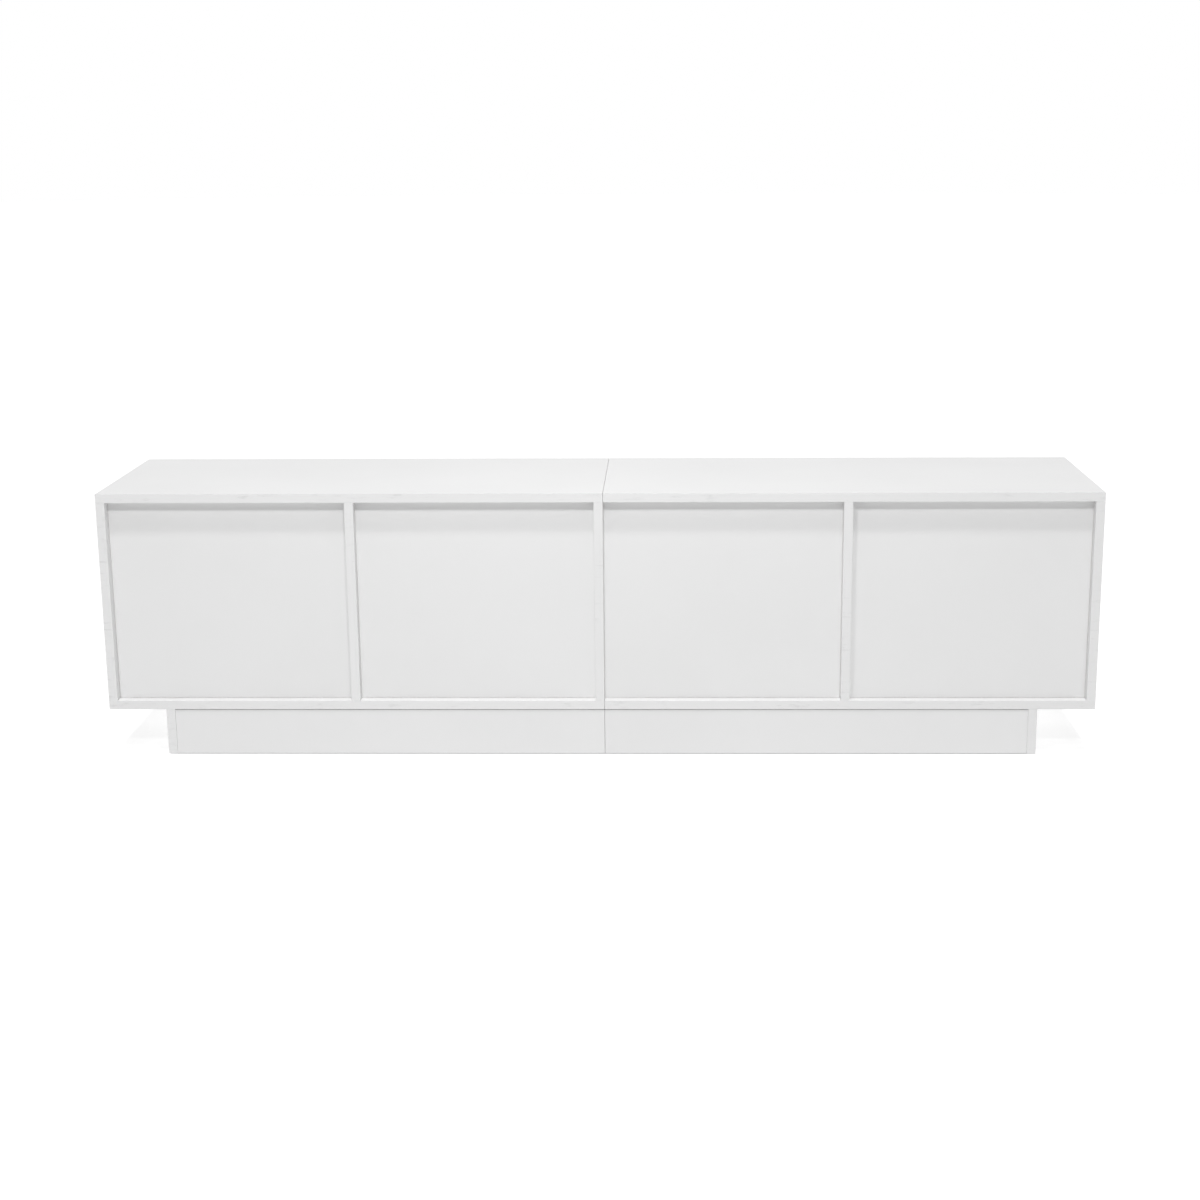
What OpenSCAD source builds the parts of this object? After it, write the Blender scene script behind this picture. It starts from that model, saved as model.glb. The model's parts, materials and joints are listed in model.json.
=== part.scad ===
// Long low television stand with four doors, flat-packed in two halves.
// X runs along the stand, the doors face -Y, and Z = 0 is the floor.
// Left and right are as seen from the doors. Bays and doors count from the left.

/* [Overall] */
// Width over the top boards
stand_w = 2000; // [1500:10:2400]
// Depth of the top and bottom boards
stand_d = 400; // [330:5:480]
// Height from the floor to the top
stand_h = 542; // [450:1:655]

/* [Boards] */
// Thickness of the carcass and plinth boards
board_t = 18; // [15:0.5:22]
// Rear edges of the boards to the back panels
back_inset = 20; // [14:1:30]
// Thickness of a back panel
back_t = 3; // [2.5:0.5:5]
// Depth of the grooves that hold the back panels
groove_depth = 7; // [5:0.5:7]
// Play between a back panel and the front wall of its groove
groove_play = 0.1; // [0.05:0.05:0.3]
// Room between a back panel and the rear wall of its groove
groove_room = 0.9; // [0.2:0.1:1.5]
// Play between the edge of a back panel and a groove floor
panel_edge_play = 0.5; // [0.3:0.1:1]
// Gap between the left and right halves at their seam
seam_gap = 0.5; // [0.2:0.1:1]

/* [Plinth] */
// Height of the plinth, with its glides
plinth_h = 96; // [70:1:120]
// End of the stand to the end of the plinth
plinth_inset = 116; // [60:1:160]
// Front of the stand to the front of the plinth
plinth_setback = 60; // [40:1:90]
// Rear ends of the plinth sides to the face of the rear rails
plinth_rail_step = 2; // [0.5:0.5:10]
// Gap between the plinth rails and the bottom boards
rail_gap = 1.6; // [0.2:0.1:2]
// Thickness of a glide
glide_t = 1.5; // [1:0.5:6]
// Diameter of a glide
glide_d = 14; // [10:1:15]

/* [Doors] */
// Thickness of a door
door_t = 16; // [15:0.5:20]
// Gap between two doors
door_gap = 4; // [3:0.5:6]
// Gap above and below a door
door_end_gap = 3; // [2:0.5:5]
// Step from the end of the stand to the outer door
door_side_step = 1; // [0:0.5:4]
// Step from the front of the top to the door faces
door_face_step = 1; // [0:0.5:4]
// Clearance of the rear corner of a swinging door from its upright
door_swing_play = 0.6; // [0.4:0.1:3]

/* [Hinges] */
// Diameter of a hinge cup
cup_d = 35; // [34:0.5:38]
// Edge of the door to the centre of the cup
cup_edge = 21.5; // [21:0.5:23]
// End of the door to the centre of the cup
cup_from_end = 75; // [60:1:100]
// Edge of the door to the hinge pin
pin_edge = 8; // [7:0.5:9]
// Face of the door to the hinge pin
pin_from_face = 6.5; // [6:0.1:7]
// Diameter of a hinge pin
pin_d = 2.5; // [2:0.1:3]
// Running clearance of the arm on its pin, on the radius
pin_play = 0.05; // [0.02:0.01:0.1]
// Thickness of the steel strap of the arm
strap_t = 2; // [1.5:0.1:2.2]
// Back of the door, wide open, to the leg of the arm
leg_clear = 4.5; // [4:0.5:6]
// Height of a mounting plate off the upright
plate_t = 5; // [4:0.5:7]
// Front edge of the upright to the screws of the plate
plate_from_edge = 37; // [32:1:45]

/* [Shelves and latches] */
// Thickness of a shelf
shelf_t = 16; // [15:0.5:22]
// Play at each end of a shelf
shelf_play = 1; // [0.5:0.5:2]
// Front edge of the upright to the front edge of a shelf
shelf_setback = 30; // [25:5:80]
// Diameter of a shelf pin
shelf_pin_d = 5; // [4:0.5:6]
// Width of a push latch off the upright
latch_w = 14; // [12:0.5:18]
// Length of a push latch
latch_l = 60; // [55:1:70]
// Diameter of the plunger of a latch
plunger_d = 7.84; // [6:0.02:9]
// Running clearance of the plunger, on the radius
plunger_play = 0.08; // [0.03:0.01:0.1]
// Travel of the plunger
plunger_travel = 3; // [2:0.5:5]

/* [Hidden] */
$fn = 48;
bay_count = 4;
slip = 0.05;          // radial clearance of bought fittings in their holes
cut = 1;              // how far a cutter runs past a face

// carcass
half_w = stand_w / 2;
front_y = -stand_d / 2;
rear_y = stand_d / 2;
top_z = stand_h - board_t;
floor_z = plinth_h + board_t;
bay_w = (stand_w - (bay_count + 1) * board_t) / bay_count;
door_back_y = front_y + door_face_step + door_t;
pin_depth = door_t - pin_from_face;
door_back_gap = norm([pin_edge, pin_depth]) - pin_depth + door_swing_play;
upright_y = door_back_y + door_back_gap;
panel_y = rear_y - back_inset - back_t;
seam_x = upright_x(2);

// cam fittings and dowels
cam_front_inset = 50;
cam_rear_inset = 70;
dowel_step = 32;
seam_step = 64;
seam_dowel_inset = 40;
cam_centre = 34;      // joint plane to the middle of the cam
cam_d = 15;
cam_depth = 12.5;
cam_floor_play = 0.5;
bolt_thread_d = 5;
bolt_thread_l = 11;
bolt_shaft_d = 6;
bolt_neck_d = 4;
bolt_head_d = 6;
bolt_head_from = 1;   // cam centre to the front of the bolt's head
bolt_head_h = 3;
bolt_bore_d = 7;
cam_slot_d = 6.4;
cam_cross_w = 1.5;
cam_cross_l = 10;
cam_cross_h = 1;
dowel_d = 8;
dowel_in_board = 8;
dowel_in_end = 22;
dowel_end_play = 1;
cam_ys = [upright_y + cam_front_inset, rear_y - cam_rear_inset];
dowel_ys = [cam_ys[0] + dowel_step, cam_ys[1] - dowel_step];
seam_cam_ys = [cam_ys[0] + seam_step, cam_ys[1] - seam_step];
seam_dowel_ys = [front_y + seam_dowel_inset, rear_y - seam_dowel_inset];

// plinth
plinth_x = half_w - plinth_inset;
plinth_front_y = front_y + plinth_setback;
rail_rear_y = rear_y - plinth_rail_step;
plinth_mid_z = (glide_t + plinth_h) / 2;
plinth_dowel_ys = [dowel_ys[0] + dowel_step / 2, dowel_ys[1] - dowel_step / 2];
glide_inset = 30;

// doors
door_w = (stand_w - 2 * door_side_step - (bay_count - 1) * door_gap) / bay_count;
door_z = floor_z + door_end_gap;
door_h = top_z - door_end_gap - door_z;
edge_round = 1;

// hinges, drawn with the pin on the origin, +x to the free edge and +y into the stand
pin_y = door_back_y - pin_depth;
pin_end_play = 0.2;
barrel_d = 4.4;
barrel_play = 0.2;
cup_wall_t = 1;
cup_floor_t = 0.6;
cup_depth = pin_depth + barrel_d / 2 + barrel_play + cup_floor_t;
cup_x = cup_edge - pin_edge;
cup_wall_fit = 0.1;
cup_floor_fit = 0.1;
hook_reach = pin_depth + leg_clear + strap_t / 2;
arm_w = 12;
mouth_play = 0.5;
mouth_near = barrel_d / 2 + barrel_play;
pin_l = 2 * sqrt(pow(cup_d / 2 - cup_wall_t, 2) - pow(cup_x, 2)) - 2 * pin_end_play;
flange_t = 1.2;
flange_d = cup_d + 2;
flange_ear_d = 12;
ear_z = 24;
ear_step = 6;
ear_x = cup_x + ear_step;
cup_screw_d = 3.5;
cup_screw_l = 8;
screw_head_h = 0.9;
screw_head_d = 7;
plate_y = pin_depth + door_back_gap + plate_from_edge;
plate_w = 14;
plate_l = 44;
wing_l = 10;
wing_span = 48;
wing_t = 2.2;
plate_screw_z = 16;
plate_screw_l = board_t - 4;
crank_start = 5;
crank_y = pin_depth + door_back_gap + crank_start;
crank_l = 9;
arm_tail = 24;
arm_end_y = plate_y + arm_tail;
channel_t = 1.2;
channel_play = 0.4;
arm_screw_d = 4;
arm_screw_head_d = 8;
arm_screw_head_h = 2;
arm_screw_depth = 4;
hinge_zs = [door_z + cup_from_end, door_z + door_h - cup_from_end];

// shelves
shelf_mid_z = (floor_z + top_z) / 2;
shelf_z = shelf_mid_z - shelf_t / 2;
shelf_gap_back = 1.5;
shelf_pin_web = 5;    // board left between the pins of two bays
shelf_pin_in = (board_t - shelf_pin_web) / 2;
shelf_pin_out = 9;
shelf_peg_d = 7;
pin_row_step = 32;
pin_row_front = 75;
pin_row_rear = 60;
pin_ys = [upright_y + pin_row_front, panel_y - pin_row_rear];
peg_z = shelf_z - shelf_peg_d / 2;

// latches, drawn with the upright's face at x = 0 and its front edge at y = 0
latch_z = (shelf_z + shelf_t + hinge_zs[1]) / 2;
latch_h = 18;
latch_step = 2;
latch_base_t = 2;
latch_base_h = 34;
latch_screw_z = 13;
latch_screw_ys = [14, 50];
plunger_l = 43;
plunger_gap = 0.5;
plunger_step = 0.5;
plunger_x = latch_w / 2 + plunger_step;

// left face of upright i, 0 to 4
function upright_x(i) = -half_w + i * (board_t + bay_w);
function upright_mid(i) = upright_x(i) + board_t / 2;
// left wall of bay b, 1 to 4
function bay_x(b) = upright_x(b) - bay_w;
function door_x(k) = -half_w + door_side_step + (k - 1) * (door_w + door_gap);
// doors 1 and 2 hang on their left edge, 3 and 4 on their right
function hung_left(k) = k <= bay_count / 2;
function pin_x(k) = hung_left(k) ? door_x(k) + pin_edge : door_x(k) + door_w - pin_edge;
function hinge_face_x(k) = hung_left(k) ? upright_x(k - 1) + board_t : upright_x(k);
function latch_face_x(k) = hung_left(k) ? upright_x(k) : upright_x(k - 1) + board_t;
// pin to the face that carries the mounting plate
function plate_x(k) = abs(hinge_face_x(k) - pin_x(k));
// cams open into the bay to the right of an upright in the left half, else to the left
function cam_side(i) = i <= 2 ? 0 : 1;

module block(low, high) {
    translate(low) cube(high - low);
}

// rod along z between two heights
module rod(d, z0, z1) {
    translate([0, 0, z0]) cylinder(d = d, h = z1 - z0);
}

// --- places ---

// joint of upright i with the top (end = 1) or the bottom (end = -1); board at z > 0
module at_joint(i, end, y) {
    translate([upright_mid(i), y, end == 1 ? top_z : floor_z])
        mirror([0, 0, end == 1 ? 0 : 1])
            mirror([cam_side(i), 0, 0]) children();
}

// seam of the left and right boards at height z; right board at local z > 0
module at_seam(z, y) {
    translate([seam_x, y, z]) rotate([0, 90, 0]) children();
}

// hinge pin of door k at height z
module at_hinge(k, z) {
    translate([pin_x(k), pin_y, z]) mirror([hung_left(k) ? 0 : 1, 0, 0]) children();
}

module at_latch(k) {
    translate([latch_face_x(k), upright_y, latch_z]) rotate([0, hung_left(k) ? 180 : 0, 0]) children();
}

// shelf pins of one face of the bay: side 0 is the left wall, 1 the right
module at_shelf_pins(b, side, rows) {
    for (y = pin_ys, row = rows)
        translate([bay_x(b) + side * bay_w, y, peg_z + row * pin_row_step])
            mirror([side, 0, 0]) rotate([0, 90, 0]) children();
}

// --- cam fittings and dowels, drawn with the joint plane at z = 0 ---

module cam_bolt() {
    rod(bolt_thread_d, 0, bolt_thread_l);
    rod(bolt_shaft_d, -cam_centre + cam_d / 2, 0);
    rod(bolt_neck_d, -cam_centre + bolt_head_from, -cam_centre + cam_d / 2);
    rod(bolt_head_d, -cam_centre + bolt_head_from - bolt_head_h, -cam_centre + bolt_head_from);
}

module cam_housing() {
    difference() {
        translate([board_t / 2, 0, -cam_centre]) rotate([0, -90, 0])
            cylinder(d = cam_d, h = cam_depth);
        rod(cam_slot_d, -cam_centre - cam_slot_d / 2, -cam_centre + cam_d);
        for (arm = [[cam_cross_l, cam_cross_w], [cam_cross_w, cam_cross_l]])
            translate([board_t / 2 - cam_cross_h, -arm[0] / 2, -cam_centre - arm[1] / 2])
                cube([cam_cross_h + cut, arm[0], arm[1]]);
    }
}

module cam_cut() {
    rod(bolt_thread_d + 2 * slip, -cut, bolt_thread_l + dowel_end_play);
    rod(bolt_bore_d, -cam_centre, 0);
    translate([board_t / 2 + cut, 0, -cam_centre]) rotate([0, -90, 0])
        cylinder(d = cam_d + 2 * slip, h = cam_depth + cam_floor_play + cut);
}

module dowel(grow = 0, longer = 0) {
    rod(dowel_d + 2 * grow, -dowel_in_end - longer, dowel_in_board + longer);
}

module dowel_cut() {
    dowel(slip, dowel_end_play);
}

module upright_joint_cuts(i, end) {
    for (y = cam_ys) at_joint(i, end, y) cam_cut();
    for (y = dowel_ys) at_joint(i, end, y) dowel_cut();
}

module seam_cuts(z) {
    for (y = seam_cam_ys) at_seam(z, y) cam_cut();
    for (y = seam_dowel_ys) at_seam(z, y) dowel_cut();
}

// every plinth dowel: up into the bottom boards, and from rails into sides and braces
module at_plinth_dowels() {
    for (x = brace_mids(), y = plinth_dowel_ys)
        translate([x, y, plinth_h]) children();
    for (side = [-1, 1], y = rail_mid_ys())
        translate([side * (plinth_x - board_t), y, plinth_mid_z])
            rotate([0, side * 90, 0]) children();
    for (x = inner_brace_mids(), end = [-1, 1])
        translate([x, (end < 0 ? plinth_front_y + board_t : rail_rear_y - board_t), plinth_mid_z])
            rotate([-end * 90, 0, 0]) children();
}

function rail_mid_ys() = [plinth_front_y + board_t / 2, rail_rear_y - board_t / 2];
function inner_brace_mids() =
    [upright_mid(1), seam_x - seam_gap - board_t / 2, seam_x + board_t / 2, upright_mid(3)];
function brace_mids() = concat([-plinth_x + board_t / 2, plinth_x - board_t / 2], inner_brace_mids());

// --- carcass boards ---

// upright slab behind bay b that reaches into the boards round it
module back_slab(b, reach, y, thick) {
    block([bay_x(b) - reach, y, floor_z - reach], [bay_x(b) + bay_w + reach, y + thick, top_z + reach]);
}

module back_groove(b) {
    back_slab(b, groove_depth, panel_y - groove_play, groove_play + back_t + groove_room);
}

module long_board(z, left) {
    color("white") difference() {
        if (left)
            block([-half_w, front_y, z], [seam_x - seam_gap, rear_y, z + board_t]);
        else
            block([seam_x, front_y, z], [half_w, rear_y, z + board_t]);
        for (b = [1:bay_count]) back_groove(b);
        for (i = left ? [0, 1] : [2, 3, 4]) upright_joint_cuts(i, z > shelf_mid_z ? 1 : -1);
        seam_cuts(z + board_t / 2);
        if (z < shelf_mid_z) at_plinth_dowels() dowel_cut();
    }
}

module top_board_left() { long_board(top_z, true); }
module top_board_right() { long_board(top_z, false); }
module bottom_board_left() { long_board(plinth_h, true); }
module bottom_board_right() { long_board(plinth_h, false); }

module upright(i) {
    color("white") difference() {
        block([upright_x(i), upright_y, floor_z], [upright_x(i) + board_t, rear_y, top_z]);
        for (end = [-1, 1]) upright_joint_cuts(i, end);
        for (b = [1:bay_count], side = [0, 1])
            if (i == b - 1 + side) {
                back_groove(b);
                at_shelf_pins(b, side, [-1, 0, 1]) shelf_pin_cut();
            }
        for (k = [1:bay_count]) {
            if (abs(hinge_face_x(k) - upright_mid(i)) < board_t)
                for (z = hinge_zs) at_hinge(k, z) at_plate_screws(k) screw_cut(plate_screw_l);
            if (abs(latch_face_x(k) - upright_mid(i)) < board_t)
                at_latch(k) at_latch_screws() screw_cut(plate_screw_l);
        }
    }
}

module side_panel_left() { upright(0); }
module divider_left() { upright(1); }
module middle_panel() { upright(2); }
module divider_right() { upright(3); }
module side_panel_right() { upright(4); }

module back_panel(b) {
    color("gainsboro") back_slab(b, groove_depth - panel_edge_play, panel_y, back_t);
}

// --- plinth ---

module plinth_board(low, high) {
    color("white") difference() {
        block(low, high);
        at_plinth_dowels() dowel_cut();
    }
}

module plinth_side(side) {
    x = side < 0 ? -plinth_x : plinth_x - board_t;
    plinth_board([x, plinth_front_y, glide_t], [x + board_t, rear_y, plinth_h]);
}

module plinth_side_left() { plinth_side(-1); }
module plinth_side_right() { plinth_side(1); }

module plinth_rail(left, y) {
    inner_x = plinth_x - board_t;
    plinth_board([left ? -inner_x : seam_x, y, glide_t],
                 [left ? seam_x - seam_gap : inner_x, y + board_t, plinth_h - rail_gap]);
}

module plinth_rear_rail_left() { plinth_rail(true, rail_rear_y - board_t); }
module plinth_rear_rail_right() { plinth_rail(false, rail_rear_y - board_t); }
module plinth_front_rail_left() { plinth_rail(true, plinth_front_y); }
module plinth_front_rail_right() { plinth_rail(false, plinth_front_y); }

module plinth_brace(mid_x) {
    plinth_board([mid_x - board_t / 2, plinth_front_y + board_t, glide_t],
                 [mid_x + board_t / 2, rail_rear_y - board_t, plinth_h]);
}

module plinth_brace_left() { plinth_brace(upright_mid(1)); }
module plinth_brace_middle_left() { plinth_brace(seam_x - seam_gap - board_t / 2); }
module plinth_brace_middle_right() { plinth_brace(seam_x + board_t / 2); }
module plinth_brace_right() { plinth_brace(upright_mid(3)); }

module plinth_glides() {
    glide_ys = [plinth_front_y + board_t + glide_inset, rail_rear_y - board_t - glide_inset];
    color("dimgray")
        for (x = brace_mids(), y = glide_ys)
            translate([x, y, 0]) rod(glide_d, 0, glide_t);
}

// --- shelves ---

module shelf(b) {
    color("white")
        block([bay_x(b) + shelf_play, upright_y + shelf_setback, shelf_z],
              [bay_x(b) + bay_w - shelf_play, panel_y - shelf_gap_back, shelf_z + shelf_t]);
}

module shelf_pin_cut() {
    rod(shelf_pin_d + 2 * slip, -shelf_pin_in - dowel_end_play, cut);
}

module shelf_pins() {
    color("silver")
        for (b = [1:bay_count], side = [0, 1])
            at_shelf_pins(b, side, [0]) {
                rod(shelf_pin_d, -shelf_pin_in, 0);
                rod(shelf_peg_d, 0, shelf_pin_out);
            }
}

// --- cam fittings of the carcass ---

module at_all_cams() {
    for (i = [0:bay_count], end = [-1, 1], y = cam_ys) at_joint(i, end, y) children();
    for (z = [top_z, plinth_h], y = seam_cam_ys) at_seam(z + board_t / 2, y) children();
}

module cam_housings() {
    color("silver") at_all_cams() cam_housing();
}

module cam_bolts() {
    color("silver") at_all_cams() cam_bolt();
}

module wood_dowels() {
    color("burlywood") {
        for (i = [0:bay_count], end = [-1, 1], y = dowel_ys) at_joint(i, end, y) dowel();
        for (z = [top_z, plinth_h], y = seam_dowel_ys) at_seam(z + board_t / 2, y) dowel();
        at_plinth_dowels() dowel();
    }
}

// --- doors ---

// upright edges are broken by a small chamfer
module door(k) {
    face_y = front_y + door_face_step;
    color("white") difference() {
        translate([door_x(k), face_y, door_z]) linear_extrude(door_h) polygon([
            [edge_round, 0], [door_w - edge_round, 0], [door_w, edge_round],
            [door_w, door_t], [0, door_t], [0, edge_round]]);
        for (z = hinge_zs) at_hinge(k, z) {
            translate([cup_x, pin_depth + cut, 0]) rotate([90, 0, 0])
                cylinder(d = cup_d + 2 * cup_wall_fit, h = cup_depth + cup_floor_fit + cut);
            at_cup_screws() screw_cut(cup_screw_l);
        }
    }
}

module at_cup_screws() {
    for (side = [-1, 1])
        translate([ear_x, pin_depth, side * ear_z]) rotate([-90, 0, 0]) children();
}

// pressed bowl with its flange; the mouth makes room for the barrel of the arm
module hinge_cup() {
    difference() {
        union() {
            translate([cup_x, pin_depth, 0]) rotate([90, 0, 0]) cylinder(d = cup_d, h = cup_depth);
            translate([0, pin_depth + flange_t, 0]) rotate([90, 0, 0]) linear_extrude(flange_t) {
                translate([cup_x, 0]) circle(d = flange_d);
                translate([ear_x - flange_ear_d / 2, -ear_z]) square([flange_ear_d, 2 * ear_z]);
                for (side = [-1, 1]) translate([ear_x, side * ear_z]) circle(d = flange_ear_d);
            }
        }
        translate([cup_x, pin_depth + flange_t + cut, 0]) rotate([90, 0, 0])
            cylinder(d = cup_d - 2 * cup_wall_t, h = flange_t + cut + cup_depth - cup_floor_t);
        block([-mouth_near, -mouth_near, -arm_w / 2 - mouth_play],
              [cup_x, pin_depth + flange_t + cut, arm_w / 2 + mouth_play]);
        rod(pin_d + 2 * slip, -pin_l / 2 - slip, pin_l / 2 + slip);
        at_cup_screws() rod(cup_screw_d + 2 * slip, -cut, flange_t + cut);
    }
}

module hinge_cups(k) {
    color("silver") for (z = hinge_zs) at_hinge(k, z) hinge_cup();
}

module hinge_pins(k) {
    color("gray") for (z = hinge_zs) at_hinge(k, z) rod(pin_d, -pin_l / 2, pin_l / 2);
}

// a screw standing in z < 0, its head above a plate of thickness t
module screw(d, l, t) {
    rod(d, -l, t);
    rod(screw_head_d, t, t + screw_head_h);
}

module screw_cut(l) {
    rod(cup_screw_d + 2 * slip, -l - dowel_end_play, cut);
}

module cup_screws(k) {
    color("silver") for (z = hinge_zs) at_hinge(k, z) at_cup_screws()
        screw(cup_screw_d, cup_screw_l, flange_t);
}

// --- hinge arms and mounting plates, on the uprights ---

// flat strap between two points in the xy plane
module strap(from, to) {
    run = to - from;
    translate(from) rotate(atan2(run[1], run[0])) translate([0, -strap_t / 2])
        square([norm(run), strap_t]);
    translate(to) circle(d = strap_t);
}

module hinge_arm(k) {
    seat = plate_x(k) + plate_t + strap_t / 2;
    difference() {
        union() {
            translate([0, 0, -arm_w / 2]) linear_extrude(arm_w) {
                circle(d = barrel_d);
                strap([0, 0], [hook_reach, 0]);
                strap([hook_reach, 0], [hook_reach, crank_y]);
                strap([hook_reach, crank_y], [seat, crank_y + crank_l]);
                strap([seat, crank_y + crank_l], [seat, arm_end_y]);
            }
            for (side = [0, 1]) mirror([0, 0, side])
                block([plate_x(k) + wing_t + channel_play, crank_y + crank_l, plate_w / 2 + channel_play],
                      [seat + strap_t / 2, arm_end_y, plate_w / 2 + channel_play + channel_t]);
            block([seat - strap_t / 2, crank_y + crank_l, -plate_w / 2 - channel_play],
                  [seat + strap_t / 2, arm_end_y, plate_w / 2 + channel_play]);
        }
        rod(pin_d + 2 * pin_play, -arm_w, arm_w);
        at_arm_screw(k) rod(arm_screw_d + 2 * slip, -strap_t - cut, cut);
    }
}

module hinge_arms() {
    color("silver") for (k = [1:bay_count], z = hinge_zs) at_hinge(k, z) hinge_arm(k);
}

// outer face of the arm over the plate, screw standing in z < 0
module at_arm_screw(k) {
    translate([plate_x(k) + plate_t + strap_t, plate_y, 0]) rotate([0, 90, 0]) children();
}

module at_plate_screws(k) {
    for (side = [-1, 1])
        translate([plate_x(k), plate_y, side * plate_screw_z]) rotate([0, 90, 0]) children();
}

module mounting_plate(k) {
    face = plate_x(k);
    difference() {
        union() {
            block([face, plate_y - plate_l / 2, -plate_w / 2],
                  [face + plate_t, plate_y + plate_l / 2, plate_w / 2]);
            block([face, plate_y - wing_l / 2, -wing_span / 2],
                  [face + wing_t, plate_y + wing_l / 2, wing_span / 2]);
        }
        at_plate_screws(k) rod(cup_screw_d + 2 * slip, -cut, plate_t + cut);
        at_arm_screw(k) rod(arm_screw_d + 2 * slip, -strap_t - arm_screw_depth, 0);
    }
}

module mounting_plates() {
    color("silver") for (k = [1:bay_count], z = hinge_zs) at_hinge(k, z) mounting_plate(k);
}

module plate_screws() {
    color("silver") for (k = [1:bay_count], z = hinge_zs) at_hinge(k, z) at_plate_screws(k)
        screw(cup_screw_d, plate_screw_l, wing_t);
}

module arm_screws() {
    color("silver") for (k = [1:bay_count], z = hinge_zs) at_hinge(k, z) at_arm_screw(k) {
        rod(arm_screw_d, -strap_t - arm_screw_depth + slip, 0);
        rod(arm_screw_head_d, 0, arm_screw_head_h);
    }
}

// --- push latches ---

module at_latch_screws() {
    for (n = [0, 1])
        translate([0, latch_screw_ys[n], (n == 0 ? 1 : -1) * latch_screw_z])
            rotate([0, 90, 0]) children();
}

module latch_body() {
    difference() {
        union() {
            block([0, latch_step, -latch_h / 2], [latch_w, latch_step + latch_l, latch_h / 2]);
            block([0, latch_step, -latch_base_h / 2],
                  [latch_base_t, latch_step + latch_l, latch_base_h / 2]);
        }
        translate([plunger_x, 0, 0]) rotate([-90, 0, 0])
            cylinder(d = plunger_d + 2 * plunger_play, h = plunger_l + plunger_travel + cut);
        at_latch_screws() rod(cup_screw_d + 2 * slip, -cut, latch_base_t + cut);
    }
}

module latch_bodies() {
    color("whitesmoke") for (k = [1:bay_count]) at_latch(k) latch_body();
}

module latch_screws() {
    color("silver") for (k = [1:bay_count]) at_latch(k) at_latch_screws()
        screw(cup_screw_d, plate_screw_l, latch_base_t);
}

module latch_plunger(k) {
    color("darkgray") at_latch(k)
        translate([plunger_x, plunger_gap - door_back_gap, 0]) rotate([-90, 0, 0])
            cylinder(d = plunger_d, h = plunger_l);
}

top_board_left();
top_board_right();
bottom_board_left();
bottom_board_right();
side_panel_left();
divider_left();
middle_panel();
divider_right();
side_panel_right();
back_panel(1);  // back_panel_1
back_panel(2);  // back_panel_2
back_panel(3);  // back_panel_3
back_panel(4);  // back_panel_4
plinth_side_left();
plinth_side_right();
plinth_rear_rail_left();
plinth_rear_rail_right();
plinth_front_rail_left();
plinth_front_rail_right();
plinth_brace_left();
plinth_brace_right();
plinth_brace_middle_left();
plinth_brace_middle_right();
plinth_glides();
shelf(1);  // shelf_1
shelf(2);  // shelf_2
shelf(3);  // shelf_3
shelf(4);  // shelf_4
shelf_pins();
cam_housings();
cam_bolts();
wood_dowels();
door(1);  // door_1
door(2);  // door_2
door(3);  // door_3
door(4);  // door_4
hinge_cups(1);  // hinge_cups_1
hinge_cups(2);  // hinge_cups_2
hinge_cups(3);  // hinge_cups_3
hinge_cups(4);  // hinge_cups_4
hinge_pins(1);  // hinge_pins_1
hinge_pins(2);  // hinge_pins_2
hinge_pins(3);  // hinge_pins_3
hinge_pins(4);  // hinge_pins_4
cup_screws(1);  // cup_screws_1
cup_screws(2);  // cup_screws_2
cup_screws(3);  // cup_screws_3
cup_screws(4);  // cup_screws_4
hinge_arms();
mounting_plates();
plate_screws();
arm_screws();
latch_bodies();
latch_screws();
latch_plunger(1);  // latch_plunger_1
latch_plunger(2);  // latch_plunger_2
latch_plunger(3);  // latch_plunger_3
latch_plunger(4);  // latch_plunger_4
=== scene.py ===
import json
import math
import random
import bmesh
import bpy
from mathutils import Matrix, Vector


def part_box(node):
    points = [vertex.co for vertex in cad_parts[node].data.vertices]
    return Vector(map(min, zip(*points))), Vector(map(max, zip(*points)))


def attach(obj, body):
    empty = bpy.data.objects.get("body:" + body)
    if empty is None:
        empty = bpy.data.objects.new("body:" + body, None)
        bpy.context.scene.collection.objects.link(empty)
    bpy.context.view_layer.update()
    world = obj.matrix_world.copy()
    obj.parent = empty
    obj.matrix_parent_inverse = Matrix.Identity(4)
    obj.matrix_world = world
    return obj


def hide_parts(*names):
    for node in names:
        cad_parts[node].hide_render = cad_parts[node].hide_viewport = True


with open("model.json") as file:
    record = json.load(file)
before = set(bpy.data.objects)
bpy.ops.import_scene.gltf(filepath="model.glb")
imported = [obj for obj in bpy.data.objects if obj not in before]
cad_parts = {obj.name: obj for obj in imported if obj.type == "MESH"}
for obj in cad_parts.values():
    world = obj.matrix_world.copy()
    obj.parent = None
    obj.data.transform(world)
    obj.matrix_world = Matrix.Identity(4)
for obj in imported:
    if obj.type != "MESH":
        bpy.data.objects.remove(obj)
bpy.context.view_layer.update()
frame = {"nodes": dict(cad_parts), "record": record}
bodyOf = {node: body for body, nodes in frame["record"]["behaviour"]["bodies"].items() for node in nodes}
millimetre = 0.001
print("frame loaded:", len(frame["nodes"]), "nodes")

# the camera stands behind the stand and a little above it
viewpoint = {
    "place": (-0.1457, 3.8434, 1.2573),
    "pitch": 12.870,                     # degrees down
    "yaw": -1.034,
    "roll": -0.312,
    "lens": 56.385,
    "shift": (-0.0322, -0.0406),
}


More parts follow.
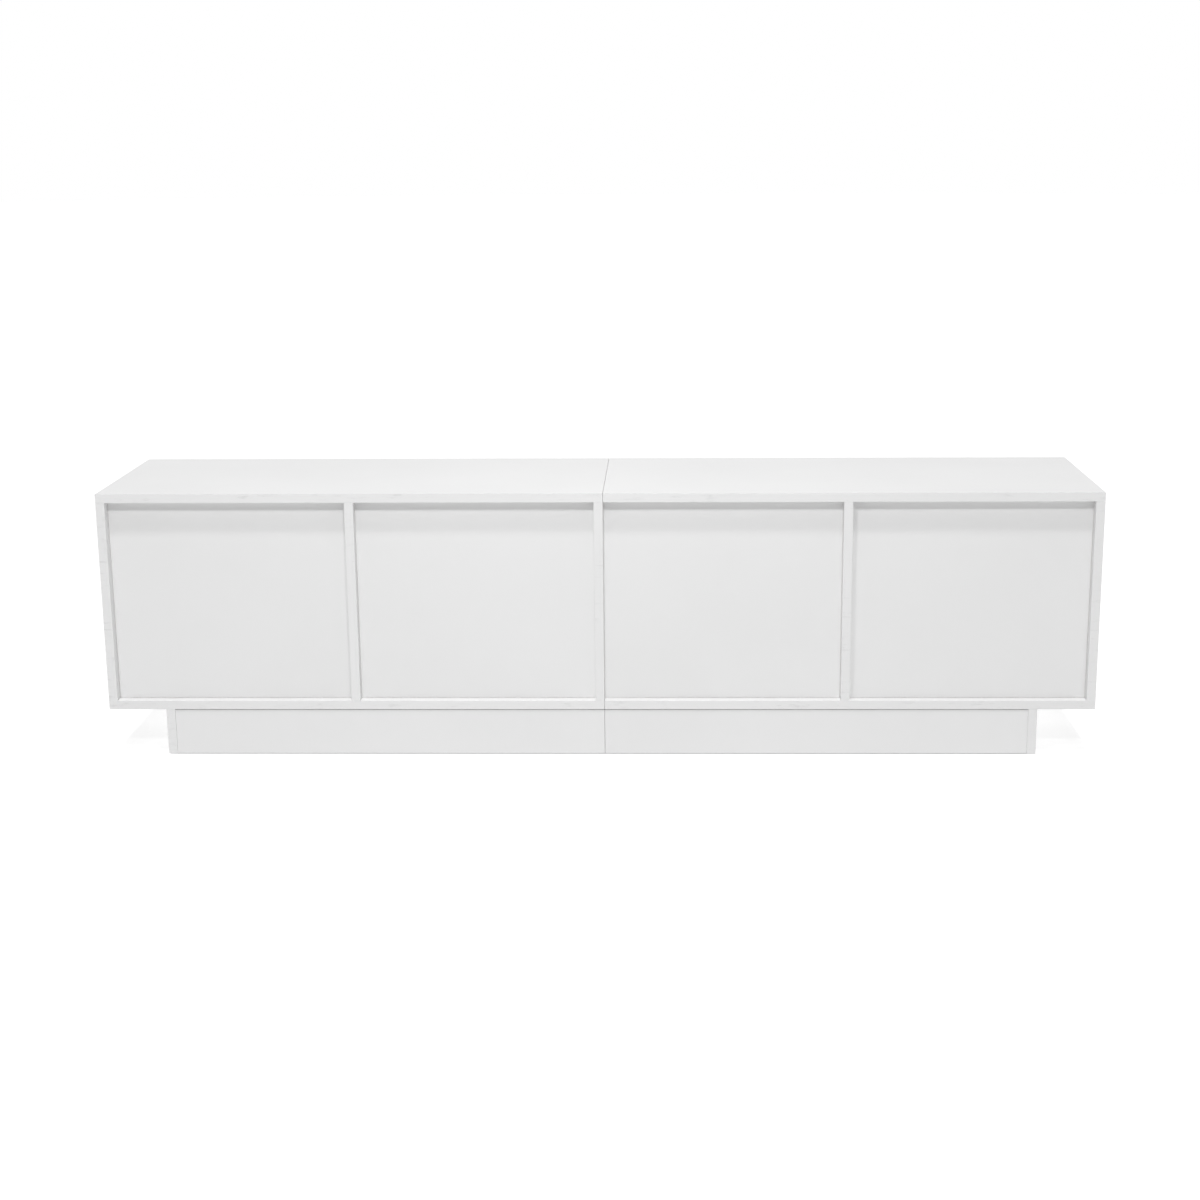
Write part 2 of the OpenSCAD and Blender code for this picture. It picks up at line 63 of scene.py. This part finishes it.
def makeCamera(settings):
    pitch, yaw, roll = (math.radians(settings[key]) for key in ("pitch", "yaw", "roll"))
    ahead = Vector((-math.cos(pitch) * math.sin(yaw), -math.cos(pitch) * math.cos(yaw), -math.sin(pitch)))
    right = Vector((-math.cos(yaw), math.sin(yaw), 0))
    up = right.cross(ahead)
    leaning = math.cos(roll) * right + math.sin(roll) * up
    upright = leaning.cross(ahead)
    camera = bpy.data.objects.new("camera", bpy.data.cameras.new("camera"))
    turned = Matrix((leaning, upright, -ahead)).transposed()
    camera.matrix_world = Matrix.Translation(settings["place"]) @ turned.to_4x4()
    camera.data.lens = settings["lens"]
    camera.data.shift_x, camera.data.shift_y = settings["shift"]
    bpy.context.scene.collection.objects.link(camera)
    bpy.context.scene.camera = camera


makeCamera(viewpoint)
print("camera placed")


# a socket that can stand in a sum; a number on the other side is set on the node itself
class Wire:
    def __init__(self, tree, socket):
        self.tree = tree
        self.socket = socket

    def maths(self, operation, *others):
        return self.node("ShaderNodeMath", {"operation": operation}, dict(enumerate((self,) + others)))

    def node(self, kind, settings=None, values=None, output=0):
        return addNode(self.tree, kind, settings, values, output)

    def __add__(self, other):
        return self.maths("ADD", other)

    def __radd__(self, other):
        return self.maths("ADD", other)

    def __sub__(self, other):
        return self.maths("SUBTRACT", other)

    def __rsub__(self, other):
        return self.maths("MULTIPLY_ADD", -1, other)

    def __mul__(self, other):
        return self.maths("MULTIPLY", other)

    def __rmul__(self, other):
        return self.maths("MULTIPLY", other)

    def least(self, other):
        return self.maths("MINIMUM", other)

    def most(self, other):
        return self.maths("MAXIMUM", other)

    # 0 at low and 1 at high, or the other way round where low is the larger
    def ramp(self, low, high):
        return self.node("ShaderNodeMapRange", {"interpolation_type": "SMOOTHSTEP"},
                         {"Value": self, "From Min": low, "From Max": high})


def addNode(tree, kind, settings=None, values=None, output=0):
    made = tree.nodes.new(kind)
    for key, value in (settings or {}).items():
        setattr(made, key, value)
    for key, value in (values or {}).items():
        if isinstance(value, Wire):
            tree.links.new(value.socket, made.inputs[key])
        else:
            made.inputs[key].default_value = value
    return Wire(tree, made.outputs[output])


# a new material with one Principled shader; `fixed` are its plain values
def newFinish(name, fixed):
    material = bpy.data.materials.new(name)
    material.use_nodes = True
    tree = material.node_tree
    shader = tree.nodes["Principled BSDF"]
    for key, value in fixed.items():
        shader.inputs[key].default_value = value
    place = addNode(tree, "ShaderNodeTexCoord", output=3)
    return material, tree, shader, place


def blend(factor, first, second):
    return factor.node("ShaderNodeMix", {"data_type": "RGBA"}, {0: factor, 6: first, 7: second}, output=2)


def noise(place, scale, detail=3.0, roughness=0.5, stretch=None):
    if stretch:
        place = place.node("ShaderNodeMapping", None, {"Vector": place, "Scale": stretch})
    return place.node("ShaderNodeTexNoise", None,
                      {"Vector": place, "Scale": scale, "Detail": detail, "Roughness": roughness})


def connect(tree, shader, **wires):
    names = {"colour": "Base Color", "roughness": "Roughness", "normal": "Normal", "glow": "Emission Color"}
    for key, wire in wires.items():
        tree.links.new(wire.socket, shader.inputs[names[key]])


# the same colour, times a share of its brightness
def dimmed(colour, share):
    return tuple(share * value for value in colour[:3]) + (1,)


# the pattern's own place on this piece, so that no two pieces look alike
def shifted(place, amounts):
    return place.node("ShaderNodeMapping", None, {"Vector": place, "Location": amounts})


def axesOf(place, count=3):
    return [place.node("ShaderNodeSeparateXYZ", None, {"Vector": place}, output=i) for i in range(count)]


def bump(height, strength, distance):
    return height.node("ShaderNodeBump", None, {"Height": height, "Strength": strength, "Distance": distance})


melamine = {
    "white": (0.80, 0.80, 0.80, 1),
    "shaded": (0.765, 0.765, 0.765, 1),
    "scuff": (0.52, 0.52, 0.52, 1),
    "glue": (0.62, 0.61, 0.59, 1),
    "clouded": 0.55,                 # how far each mark goes to its own colour
    "smudged": 0.38,
    "rubbed": 0.45,
    "glueSeen": 0.45,
    "roughness": 0.50,
    "sheen": 0.36,
    "lipThickness": 1.0 * millimetre,
    "glueWidth": 0.10 * millimetre,
    "rubWidth": 2.2 * millimetre,
    "cloudScale": 3.0,
    "patchScale": 9.0,
    "rubScale": 55.0,
    "dragScale": 24.0,
    "dragStretch": (1, 1, 5),
    "pearlScale": 620,
    "pearlDepth": 0.05 * millimetre,
}


# white board with lipped edges: low and high are its corners
def melamineFinish(name, low, high, look, seed):
    material, tree, shader, place = newFinish(name, {"IOR": 1.5, "Specular IOR Level": look["sheen"]})
    apart = shifted(place, (seed * 3.1, seed * 1.7, seed))
    inset = [(axis - low[i]).least(high[i] - axis) for i, axis in enumerate(axesOf(place))]
    thin = min(range(3), key=lambda i: high[i] - low[i])
    across, along = (inset[i] for i in range(3) if i != thin)
    rim = across.least(along)
    onFace = inset[thin].ramp(0.30 * millimetre, 0.15 * millimetre)
    arris = rim.most(inset[thin])

    # the thin line of glue between the lipping and the board, seen on the faces only
    fromGlue = (rim - look["lipThickness"]).maths("ABSOLUTE")
    glueLine = fromGlue.ramp(look["glueWidth"], 0.2 * look["glueWidth"]) * onFace
    cloud = noise(apart, look["cloudScale"], 4.0)
    patch = noise(apart, look["patchScale"], 5.0, 0.62)
    rub = noise(apart, look["rubScale"], 6.0, 0.7)
    worn = rub.ramp(0.60, 0.74) * arris.ramp(look["rubWidth"], 0.2 * millimetre) * patch.ramp(0.42, 0.6)
    drag = noise(apart, look["dragScale"], 5.0, 0.66, look["dragStretch"])
    smudge = drag.ramp(0.52, 0.74) * (1 - onFace) * patch.ramp(0.42, 0.60)
    colour = blend(cloud.ramp(0.25, 0.75) * look["clouded"], look["white"], look["shaded"])
    colour = blend(smudge * look["smudged"], colour, look["scuff"])
    colour = blend(worn * look["rubbed"], colour, look["scuff"])
    colour = blend(glueLine * look["glueSeen"], colour, look["glue"])
    pearl = noise(place, look["pearlScale"], 2.0, 0.6)
    gloss = look["roughness"] + (cloud - 0.5) * 0.10 + worn * 0.18 + (pearl - 0.5) * 0.06
    connect(tree, shader, colour=colour, roughness=gloss, normal=bump(pearl, 0.35, look["pearlDepth"]))
    return material


chipboard = {
    "pale": (0.58, 0.43, 0.27, 1),
    "dark": (0.30, 0.19, 0.10, 1),
    "roughness": 0.9,
    "chipScale": 420,
    "chipDepth": 0.3 * millimetre,
}


def chipboardFinish(look):
    material, tree, shader, place = newFinish("rawChipboard", {"Roughness": look["roughness"]})
    chips = place.node("ShaderNodeTexVoronoi", None, {"Vector": place, "Scale": look["chipScale"]})
    grain = noise(place, look["chipScale"] * 2.5, 4.0)
    colour = blend(chips.ramp(0.15, 0.75) * 0.6 + grain * 0.4, look["dark"], look["pale"])
    connect(tree, shader, colour=colour, normal=bump(chips + grain, 0.6, look["chipDepth"]))
    return material


hardboard = {
    "white": (0.80, 0.80, 0.80, 1),
    "shaded": (0.772, 0.772, 0.770, 1),
    "mark": (0.60, 0.60, 0.59, 1),
    "marked": 0.30,
    "roughness": 0.40,
    "rollerScale": 95.0,
    "rollerStretch": (1, 1, 0.12),
    "rollerDepth": 0.05 * millimetre,
    "cloudScale": 2.6,
    "speckScale": 260.0,
}


# thin white-painted sheet: a faint roller texture that runs up the sheet
def hardboardFinish(name, look, seed):
    material, tree, shader, place = newFinish(name, {"IOR": 1.48})
    apart = shifted(place, (seed * 2.3, 0, seed * 5.9))
    roller = noise(apart, look["rollerScale"], 4.0, 0.6, look["rollerStretch"])
    cloud = noise(apart, look["cloudScale"], 4.0, 0.55)
    speck = noise(apart, look["speckScale"], 2.0)
    colour = blend(cloud.ramp(0.3, 0.75) * 0.6 + roller * 0.15, look["white"], look["shaded"])
    colour = blend(speck.ramp(0.80, 0.86) * look["marked"], colour, look["mark"])
    gloss = look["roughness"] + (roller - 0.5) * 0.10 + (cloud - 0.5) * 0.08
    connect(tree, shader, colour=colour, roughness=gloss, normal=bump(roller, 0.25, look["rollerDepth"]))
    return material


plating = {"grainScale": 700.0, "grainDepth": 0.03 * millimetre, "stainScale": 90.0, "stainShare": 0.72}


def metalFinish(name, colour, roughness, brushed, look):
    material, tree, shader, place = newFinish(name, {"Metallic": 1.0})
    grain = noise(place, look["grainScale"], 5.0, 0.65, brushed)
    stain = noise(place, look["stainScale"], 4.0, 0.6)
    tone = blend(grain * 0.35 + stain.ramp(0.4, 0.8) * 0.4, colour, dimmed(colour, look["stainShare"]))
    gloss = roughness + (grain - 0.5) * 0.16 + stain.ramp(0.45, 0.8) * 0.12
    connect(tree, shader, colour=tone, roughness=gloss, normal=bump(grain, 0.18, look["grainDepth"]))
    return material


moulding = {"grainScale": 1500.0, "grainDepth": 0.04 * millimetre, "dustScale": 60.0, "dustShare": 0.86}


def plasticFinish(name, colour, roughness, look):
    material, tree, shader, place = newFinish(name, {"IOR": 1.46})
    grain = noise(place, look["grainScale"], 3.0, 0.6)
    dust = noise(place, look["dustScale"], 5.0, 0.6)
    tone = blend(dust.ramp(0.45, 0.8) * 0.6, colour, dimmed(colour, look["dustShare"]))
    gloss = roughness + (grain - 0.5) * 0.12
    connect(tree, shader, colour=tone, roughness=gloss, normal=bump(grain, 0.3, look["grainDepth"]))
    return material


dowelWood = {
    "pale": (0.66, 0.47, 0.28, 1),
    "dark": (0.50, 0.33, 0.18, 1),
    "roughness": 0.62,
    "figureScale": 260.0,
    "figureStretch": (1, 1, 0.1),
    "figureDepth": 0.1 * millimetre,
}


def beechFinish(look):
    material, tree, shader, place = newFinish("beech", {"Roughness": look["roughness"]})
    figure = noise(place, look["figureScale"], 5.0, 0.6, look["figureStretch"])
    tone = blend(figure.ramp(0.35, 0.7), look["pale"], look["dark"])
    connect(tree, shader, colour=tone, normal=bump(figure, 0.3, look["figureDepth"]))
    return material


rawBoard = chipboardFinish(chipboard)
nickel = metalFinish("nickelPlatedSteel", (0.66, 0.65, 0.63, 1), 0.28, (1, 1, 0.1), plating)
zinc = metalFinish("zincPlatedSteel", (0.70, 0.72, 0.74, 1), 0.38, (1, 1, 1), plating)
latchWhite = plasticFinish("latchPlastic", (0.78, 0.78, 0.77, 1), 0.42, moulding)
plungerGrey = plasticFinish("plungerPlastic", (0.30, 0.30, 0.31, 1), 0.5, moulding)
glideGrey = plasticFinish("glidePlastic", (0.16, 0.16, 0.16, 1), 0.6, moulding)
beech = beechFinish(dowelWood)
print("finishes mixed")


cleaning = {"merge": 0.002 * millimetre, "flatWithin": 0.6}   # flatWithin in degrees


# a clean copy of a node's mesh, its doubles merged and its flats whole
def cleanCopy(node):
    shape = bmesh.new()
    shape.from_mesh(frame["nodes"][node].data)
    bmesh.ops.remove_doubles(shape, verts=shape.verts, dist=cleaning["merge"])
    bmesh.ops.dissolve_limit(shape, angle_limit=math.radians(cleaning["flatWithin"]),
                             verts=shape.verts, edges=shape.edges)
    return shape


# edges that turn by more than sharpAngle, in degrees, stay crisp
def finishPiece(shape, name, materials, node, sharpAngle):
    mesh = bpy.data.meshes.new(name)
    shape.to_mesh(mesh)
    shape.free()
    for material in materials:
        mesh.materials.append(material)
    mesh.shade_smooth()
    mesh.set_sharp_from_angle(angle=math.radians(sharpAngle))
    piece = bpy.data.objects.new(name, mesh)
    bpy.context.scene.collection.objects.link(piece)
    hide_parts(node)
    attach(piece, bodyOf[node])


boards = {
    "arris": 0.45 * millimetre,
    "arrisSegments": 3,
    "sharpAngle": 12,
    "skin": 0.6 * millimetre,    # a face whose middle is deeper than this is sawn or drilled
    "nodes": ["top_board_left", "top_board_right", "bottom_board_left", "bottom_board_right",
              "side_panel_left", "divider_left", "middle_panel", "divider_right", "side_panel_right",
              "plinth_side_left", "plinth_side_right", "plinth_rear_rail_left", "plinth_rear_rail_right",
              "plinth_front_rail_left", "plinth_front_rail_right", "plinth_brace_left", "plinth_brace_right",
              "plinth_brace_middle_left", "plinth_brace_middle_right",
              "shelf_1", "shelf_2", "shelf_3", "shelf_4", "door_1", "door_2", "door_3", "door_4"],
}


# the board's long edges are eased, and what is cut into it shows raw chipboard
def makeBoard(node, settings, seed):
    low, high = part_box(node)
    shape = cleanCopy(node)
    slack = 0.01 * millimetre

    def outerSides(vertex):
        return {(i, side) for i in range(3) for side, corner in ((0, low), (1, high))
                if abs(vertex.co[i] - corner[i]) < slack}

    arrises = [edge for edge in shape.edges
               if len(outerSides(edge.verts[0]) & outerSides(edge.verts[1])) == 2]
    bmesh.ops.bevel(shape, geom=arrises, offset=settings["arris"], segments=settings["arrisSegments"],
                    profile=0.5, affect="EDGES", material=-1, clamp_overlap=True)
    for face in shape.faces:
        centre = face.calc_center_median()
        outside = any(abs(centre[i] - corner[i]) < settings["skin"]
                      for i in range(3) for corner in (low, high))
        face.material_index = 0 if outside else 1
    finish = melamineFinish("melamine_" + node, low, high, melamine, seed)
    finishPiece(shape, node + "_board", [finish, rawBoard], node, settings["sharpAngle"])


for count, node in enumerate(boards["nodes"]):
    makeBoard(node, boards, count)
print("boards eased:", len(boards["nodes"]))

backSheet = {"cellsAcross": 28, "cellsUp": 24, "bow": 0.5 * millimetre, "lean": 0.4, "sharpAngle": 30}


# a thin sheet that bows a little between its grooves
def makeBackPanel(node, settings, seed):
    low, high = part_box(node)
    size, middle = high - low, (high + low) / 2
    shape = bmesh.new()
    upright = Matrix.Translation(middle) @ Matrix.Rotation(math.radians(-90), 4, "X")
    stretched = upright @ Matrix.Diagonal((size.x / 2, size.z / 2, 1, 1))
    bmesh.ops.create_grid(shape, x_segments=settings["cellsAcross"], y_segments=settings["cellsUp"],
                          size=1, matrix=stretched)
    bmesh.ops.recalc_face_normals(shape, faces=shape.faces)
    lean = random.Random(seed).uniform(-settings["lean"], settings["lean"])
    bmesh.ops.solidify(shape, geom=shape.faces[:], thickness=size.y)
    offset = middle.y - sum(vertex.co.y for vertex in shape.verts) / len(shape.verts)
    for vertex in shape.verts:
        across = (vertex.co.x - middle.x) / size.x
        up = (vertex.co.z - middle.z) / size.z
        swell = math.cos(math.pi * across) * math.cos(math.pi * up) * (1 + lean * across)
        vertex.co.y += offset + settings["bow"] * swell
    bmesh.ops.recalc_face_normals(shape, faces=shape.faces)
    finish = hardboardFinish("hardboard_" + node, hardboard, seed)
    finishPiece(shape, node + "_sheet", [finish], node, settings["sharpAngle"])


for count in range(1, 5):
    makeBackPanel("back_panel_%d" % count, backSheet, count)
print("back panels hung")

# finish, width of the eased edges, and the shortest edge that is eased
fittings = {
    "hinge_cups": (nickel, 0.18 * millimetre, 0.7 * millimetre),
    "hinge_pins": (nickel, 0.20 * millimetre, 0),
    "hinge_arms": (nickel, 0.22 * millimetre, 0.9 * millimetre),
    "mounting_plates": (nickel, 0.30 * millimetre, 0.9 * millimetre),
    "cam_housings": (zinc, 0.18 * millimetre, 0.7 * millimetre),
    "cam_bolts": (nickel, 0.15 * millimetre, 0),
    "shelf_pins": (nickel, 0.25 * millimetre, 0),
    "wood_dowels": (beech, 0.60 * millimetre, 0),
    "latch_bodies": (latchWhite, 0.60 * millimetre, 1.5 * millimetre),
    "latch_plunger": (plungerGrey, 1.10 * millimetre, 0),
    "plinth_glides": (glideGrey, 0.35 * millimetre, 0),
}
easing = {"segments": 2, "leastTurn": 35, "sharpAngle": 20}


def easeFitting(node, finish, width, shortest, settings):
    shape = cleanCopy(node)
    leastTurn = math.radians(settings["leastTurn"])
    sharp = [edge for edge in shape.edges
             if edge.calc_face_angle(0) > leastTurn and edge.calc_length() >= shortest]
    bmesh.ops.bevel(shape, geom=sharp, offset=width, segments=settings["segments"], profile=0.5,
                    affect="EDGES", material=-1, clamp_overlap=True)
    finishPiece(shape, node + "_eased", [finish], node, settings["sharpAngle"])


for node in frame["nodes"]:
    for family, (finish, width, shortest) in fittings.items():
        if node.startswith(family):
            easeFitting(node, finish, width, shortest, easing)
print("fittings eased and plated")

screws = {
    "axes": {"cup_screws": 1, "plate_screws": 0, "latch_screws": 0, "arm_screws": 0},
    "turns": 32,
    "dome": [(0, 1.0), (0.45, 0.97), (0.75, 0.84), (0.92, 0.60), (1.0, 0.25), (1.0, 0)],
    "point": 0.25,               # share of the shank's radius at its end
    "recess": {"reach": 0.62, "width": 0.17, "depth": 0.85, "taper": 0.62},   # shares of the head
    "twist": 37,                 # degrees from one screw to the next
    "merge": 0.02 * millimetre,
    "sharpAngle": 30,
}


def separatePieces(shape):
    left = set(shape.verts)
    while left:
        found, front = set(), [left.pop()]
        while front:
            vertex = front.pop()
            found.add(vertex)
            fresh = {edge.other_vert(vertex) for edge in vertex.link_edges} & left
            left -= fresh
            front.extend(fresh)
        yield [vertex.co.copy() for vertex in found]


# where one screw stands and how big it is: the head is its widest ring of points
def measureScrew(points, axis):
    low, high = (Vector([pick(point[i] for point in points) for i in range(3)]) for pick in (min, max))
    centre = (low + high) / 2
    across = [i for i in range(3) if i != axis]
    spread = {index: math.hypot(*(point[i] - centre[i] for i in across))
              for index, point in enumerate(points)}
    widest = max(spread.values())
    onRim, offAxis = 0.95 * widest, 0.2 * widest
    rim = [points[index][axis] for index, radius in spread.items() if radius > onRim]
    thin = min(radius for radius in spread.values() if radius > offAxis)
    outward = 1 if sum(rim) / len(rim) > centre[axis] else -1
    top, tip = (high[axis], low[axis]) if outward > 0 else (low[axis], high[axis])
    base = min(rim) if outward > 0 else max(rim)
    foot = centre.copy()
    foot[axis] = base
    return {"foot": foot, "outward": outward, "head": widest, "rise": abs(top - base),
            "shank": thin, "length": abs(base - tip)}


def tempObject(name, shape):
    mesh = bpy.data.meshes.new(name)
    shape.to_mesh(mesh)
    shape.free()
    made = bpy.data.objects.new(name, mesh)
    bpy.context.scene.collection.objects.link(made)
    return made


# a domed head with a cross recess on a plain shank, head upward, its underside at z = 0
def makeScrew(sizes, settings):
    body = bmesh.new()
    outline = [(sizes["head"] * r, sizes["rise"] * z) for r, z in settings["dome"]]
    outline += [(sizes["shank"], 0), (sizes["shank"], -sizes["length"] + sizes["shank"]),
                (settings["point"] * sizes["shank"], -sizes["length"]), (0, -sizes["length"])]
    points = [body.verts.new((r, 0, z)) for r, z in outline]
    edges = [body.edges.new(pair) for pair in zip(points, points[1:])]
    bmesh.ops.spin(body, geom=points + edges, cent=(0, 0, 0), axis=(0, 0, 1), angle=2 * math.pi,
                   steps=settings["turns"], use_merge=True)
    bmesh.ops.remove_doubles(body, verts=body.verts, dist=0.05 * settings["merge"])
    bmesh.ops.recalc_face_normals(body, faces=body.faces)
    recess = settings["recess"]
    long, wide = 2 * recess["reach"] * sizes["head"], 2 * recess["width"] * sizes["head"]
    depth = recess["depth"] * sizes["rise"]
    cutter = bmesh.new()
    for turn in (0, 90):
        bar = bmesh.ops.create_cube(cutter, size=1)["verts"]
        bmesh.ops.scale(cutter, vec=(long, wide, 4 * depth), verts=bar)
        bmesh.ops.translate(cutter, vec=(0, 0, sizes["rise"] + depth), verts=bar)
        low = [vertex for vertex in bar if vertex.co.z < sizes["rise"]]
        bmesh.ops.scale(cutter, vec=(recess["taper"], recess["taper"], 1), verts=low)
        quarter = Matrix.Rotation(math.radians(turn), 3, "Z")
        bmesh.ops.rotate(cutter, cent=(0, 0, 0), matrix=quarter, verts=bar)
    screw, bars = tempObject("screwBody", body), tempObject("screwRecess", cutter)
    carve = screw.modifiers.new("recess", "BOOLEAN")
    carve.object = bars
    carve.solver = "EXACT"
    carve.use_self = True
    carved = bpy.data.meshes.new_from_object(screw.evaluated_get(bpy.context.evaluated_depsgraph_get()))
    for spare in (screw, bars):
        bpy.data.objects.remove(spare)
    done = bmesh.new()
    done.from_mesh(carved)
    bmesh.ops.remove_doubles(done, verts=done.verts, dist=settings["merge"])
    bmesh.ops.dissolve_degenerate(done, dist=settings["merge"], edges=done.edges)
    done.to_mesh(carved)
    done.free()
    return carved


def driveScrews(node, axis, settings):
    places = sorted((measureScrew(points, axis) for points in separatePieces(cleanCopy(node))),
                    key=lambda place: tuple(place["foot"]))
    template = makeScrew(places[0], settings)
    shape = bmesh.new()
    for count, place in enumerate(places):
        outward = Vector([place["outward"] if i == axis else 0 for i in range(3)])
        turned = outward.to_track_quat("Z", "Y").to_matrix().to_4x4()
        twist = Matrix.Rotation(math.radians(settings["twist"] * count), 4, "Z")
        start = len(shape.verts)
        shape.from_mesh(template)
        shape.verts.ensure_lookup_table()
        bmesh.ops.transform(shape, matrix=Matrix.Translation(place["foot"]) @ turned @ twist,
                            verts=shape.verts[start:])
    finishPiece(shape, node + "_driven", [zinc], node, settings["sharpAngle"])


for node in frame["nodes"]:
    for family, axis in screws["axes"].items():
        if node.startswith(family):
            driveScrews(node, axis, screws)
print("screws driven")

studio = {
    "floorRadius": 30.0,
    "floorSegments": 96,
    "floor": (0.34, 0.34, 0.34, 1),
    "floorCloud": {"scale": 1.2, "share": 0.98, "amount": 0.3},
    "floorGlow": {"seen": 0.76, "bounced": 0.58},   # a sweep of white acrylic, lit a little from below
    "contactShadowReach": 9 * millimetre,                      # how far in under the plinth the glow fades out: a painted contact shadow beneath the plinth
    "backdrop": {"seen": 1.0, "bounced": 0.12},
    "key": {"place": (0.12, 1.30, 1.72), "target": (0, 0.2, 0.30), "size": (0.14, 0.14), "power": 6.8},
    "suns": [("highSun", 73, 1.33, 5), ("rearSun", 43, 0.90, 4), ("doorSun", 157, 1.45, 12)],
}


# 1 for a ray that bounces off something matt, 0 for one that the eye or a shiny surface sends out
def mattRay(tree):
    return addNode(tree, "ShaderNodeLightPath", output=2)


def makeFloor(settings):
    material, tree, shader, place = newFinish("studioFloor", {"Roughness": 0.85, "Emission Strength": 1.0})
    seen, bounced = (3 * (settings["floorGlow"][key],) + (1,) for key in ("seen", "bounced"))
    cloud = settings["floorCloud"]
    drift = noise(place, cloud["scale"], 3.0) * cloud["amount"]
    tone = blend(drift, settings["floor"], dimmed(settings["floor"], cloud["share"]))
    # the floor's glow is cut to black inside the plinth's footprint, a painted contact shadow under the
    # plinth
    low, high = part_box("plinth_side_left")[0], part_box("plinth_side_right")[1]
    across, along = ((axis - low[i]).least(high[i] - axis) for i, axis in enumerate(axesOf(place, 2)))
    paintedContactShadow = across.least(along).ramp(0, settings["contactShadowReach"])
    connect(tree, shader, colour=tone, glow=blend(paintedContactShadow, blend(mattRay(tree), seen, bounced), (0, 0, 0, 1)))
    shape = bmesh.new()
    bmesh.ops.create_circle(shape, cap_ends=True, segments=settings["floorSegments"],
                            radius=settings["floorRadius"])
    mesh = bpy.data.meshes.new("floor")
    shape.to_mesh(mesh)
    shape.free()
    mesh.materials.append(material)
    floor = bpy.data.objects.new("floor", mesh)
    bpy.context.scene.collection.objects.link(floor)


def makeSky(settings):
    world = bpy.data.worlds.new("studio")
    world.use_nodes = True
    tree = world.node_tree
    light = settings["backdrop"]
    strength = mattRay(tree) * (light["bounced"] - light["seen"]) + light["seen"]
    backdrop = tree.nodes["Background"]
    backdrop.inputs["Color"].default_value = (1, 1, 1, 1)
    tree.links.new(strength.socket, backdrop.inputs["Strength"])
    bpy.context.scene.world = world


def makeSoftbox(name, place, target, size, power):
    light = bpy.data.lights.new(name, "AREA")
    light.shape = "RECTANGLE"
    light.size, light.size_y = size
    light.energy = power
    lamp = bpy.data.objects.new(name, light)
    aim = Vector(target) - Vector(place)
    lamp.rotation_euler = aim.to_track_quat("-Z", "Y").to_euler()
    lamp.location = place
    lamp.visible_camera = False
    bpy.context.scene.collection.objects.link(lamp)


# elevation in degrees, from behind the stand; past 90 the sun stands in front of the doors
def makeSun(name, elevation, strength, spread):
    light = bpy.data.lights.new(name, "SUN")
    light.energy = strength
    light.angle = math.radians(spread)
    lamp = bpy.data.objects.new(name, light)
    lamp.rotation_euler = (math.radians(elevation - 90), 0, 0)
    lamp.visible_glossy = False    # so that it doesn't glare off the top
    bpy.context.scene.collection.objects.link(lamp)


makeFloor(studio)
makeSky(studio)
makeSoftbox("keySoftbox", **studio["key"])
for sun in studio["suns"]:
    makeSun(*sun)
bpy.context.scene.view_settings.view_transform = "Standard"
print("studio lit")
